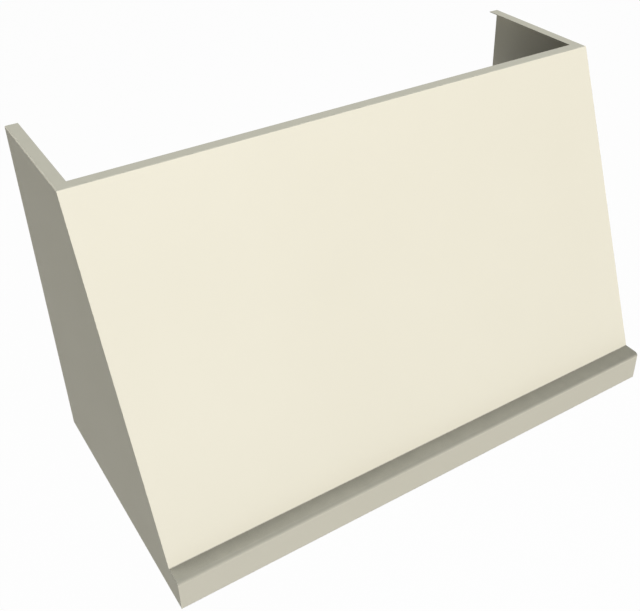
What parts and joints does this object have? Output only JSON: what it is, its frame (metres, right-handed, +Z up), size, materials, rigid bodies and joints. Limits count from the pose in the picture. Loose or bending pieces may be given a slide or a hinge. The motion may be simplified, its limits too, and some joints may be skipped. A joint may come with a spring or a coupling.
{
  "type": "range hood",
  "caption": "Slanted-front wall range hood: folded cream sheet canopy round a steel liner with baffle filters, lamps, control knobs, twin blower and round damper collar.",
  "frame": {"origin": "on the wall plane, at the middle of the hood's bottom edge", "axes": "+X along the width, +Y into the wall, +Z up"},
  "size_m": [1.2192, 0.6096, 0.762],
  "materials": {
    "cream_paint": "satin powder coat, warm cream",
    "galvanised_steel": "galvanised sheet with a fine spangle",
    "liner_steel": "brushed stainless sheet",
    "filter_steel": "brushed stainless sheet",
    "handle_steel": "satin stainless bar",
    "spring_steel": "plain spring steel",
    "zinc_steel": "bright zinc plate",
    "fan_steel": "galvanised sheet",
    "motor_paint": "semi-gloss black enamel",
    "magnet_ferrite": "bare ferrite",
    "seal_rubber": "matt black",
    "flap_aluminium": "mill finish",
    "capacitor_can": "drawn can",
    "control_plastic": "moulded black",
    "knob_plastic": "satin black",
    "lamp_aluminium": "die-cast",
    "bezel_chrome": "satin chrome",
    "lens_glass": "frosted"
  },
  "bodies": {
    "hood": {"capacitor_clip": "zinc_steel", "control_nuts": "zinc_steel", "control_panel": "liner_steel", "cup_clips": "spring_steel", "damper_rod": "zinc_steel", "damper_seat": "seal_rubber", "deck_screws": "zinc_steel", "duct_collar": "galvanised_steel", "duct_transition": "galvanised_steel", "filter_magnets": "magnet_ferrite", "filter_rod": "zinc_steel", "front_panel": "cream_paint", "grease_gutter": "liner_steel", "inlet_rings": "galvanised_steel", "junction_box": "galvanised_steel", "junction_box_cover": "galvanised_steel", "lamp_bezels": "bezel_chrome", "lamp_housings": "lamp_aluminium", "lamp_lenses": "lens_glass", "left_liner_wall": "liner_steel", "left_scroll_housing": "galvanised_steel", "left_side_panel": "cream_paint", "light_dimmer": "control_plastic", "lower_rear_rail": "galvanised_steel", "motor_body": "motor_paint", "motor_hangers": "galvanised_steel", "plenum_back_wall": "liner_steel", "plenum_deck": "galvanised_steel", "plenum_front_wall": "liner_steel", "right_liner_wall": "liner_steel", "right_scroll_housing": "galvanised_steel", "right_side_panel": "cream_paint", "rod_supports": "liner_steel", "run_capacitor": "capacitor_can", "speed_control": "control_plastic", "upper_rear_rail": "galvanised_steel"},
    "rotor": {"motor_shaft": "zinc_steel", "left_fan_wheel": "fan_steel", "right_fan_wheel": "fan_steel"},
    "front_damper": {"front_damper_flap": "flap_aluminium"},
    "rear_damper": {"rear_damper_flap": "flap_aluminium"},
    "speed_dial": {"speed_knob": "knob_plastic", "speed_spindle": "zinc_steel"},
    "light_dial": {"light_knob": "knob_plastic", "light_spindle": "zinc_steel"},
    "left_cup": {"left_grease_cup": "liner_steel"},
    "right_cup": {"right_grease_cup": "liner_steel"},
    "filter_1": {"filter_frame_1": "filter_steel", "filter_baffles_1": "filter_steel", "filter_handle_1": "handle_steel"},
    "filter_2": {"filter_frame_2": "filter_steel", "filter_baffles_2": "filter_steel", "filter_handle_2": "handle_steel"},
    "filter_3": {"filter_frame_3": "filter_steel", "filter_baffles_3": "filter_steel", "filter_handle_3": "handle_steel"},
    "filter_4": {"filter_frame_4": "filter_steel", "filter_baffles_4": "filter_steel", "filter_handle_4": "handle_steel"}
  },
  "joints": [
    {"name": "rotor_spin", "type": "hinge", "parent": "hood", "child": "rotor", "pos_m": [0, -0.259, 0.28951], "axis": [1, 0, 0], "continuous": true},
    {"name": "front_damper_swing", "type": "hinge", "parent": "hood", "child": "front_damper", "pos_m": [0, -0.145, 0.55419], "axis": [-1, 0, 0], "range_deg": [0, 75]},
    {"name": "rear_damper_swing", "type": "hinge", "parent": "hood", "child": "rear_damper", "pos_m": [0, -0.145, 0.55419], "axis": [1, 0, 0], "range_deg": [0, 75]},
    {"name": "filter_1_swing", "type": "hinge", "parent": "hood", "child": "filter_1", "pos_m": [-0.43328, -0.069, 0.089], "axis": [1, 0, 0], "range_deg": [0, 40]},
    {"name": "filter_2_swing", "type": "hinge", "parent": "hood", "child": "filter_2", "pos_m": [-0.14442, -0.069, 0.089], "axis": [1, 0, 0], "range_deg": [0, 40]},
    {"name": "filter_3_swing", "type": "hinge", "parent": "hood", "child": "filter_3", "pos_m": [0.14442, -0.069, 0.089], "axis": [1, 0, 0], "range_deg": [0, 40]},
    {"name": "filter_4_swing", "type": "hinge", "parent": "hood", "child": "filter_4", "pos_m": [0.43328, -0.069, 0.089], "axis": [1, 0, 0], "range_deg": [0, 40]},
    {"name": "speed_dial_turn", "type": "hinge", "parent": "hood", "child": "speed_dial", "pos_m": [-0.06, -0.5257, 0.019], "axis": [0, 0, 1], "range_deg": [0, 270]},
    {"name": "light_dial_turn", "type": "hinge", "parent": "hood", "child": "light_dial", "pos_m": [0.06, -0.5257, 0.019], "axis": [0, 0, 1], "range_deg": [0, 270]},
    {"name": "left_cup_drop", "type": "slide", "parent": "hood", "child": "left_cup", "axis": [0, 0, -1], "range_m": [0, 0.04]},
    {"name": "right_cup_drop", "type": "slide", "parent": "hood", "child": "right_cup", "axis": [0, 0, -1], "range_m": [0, 0.04]}
  ]
}
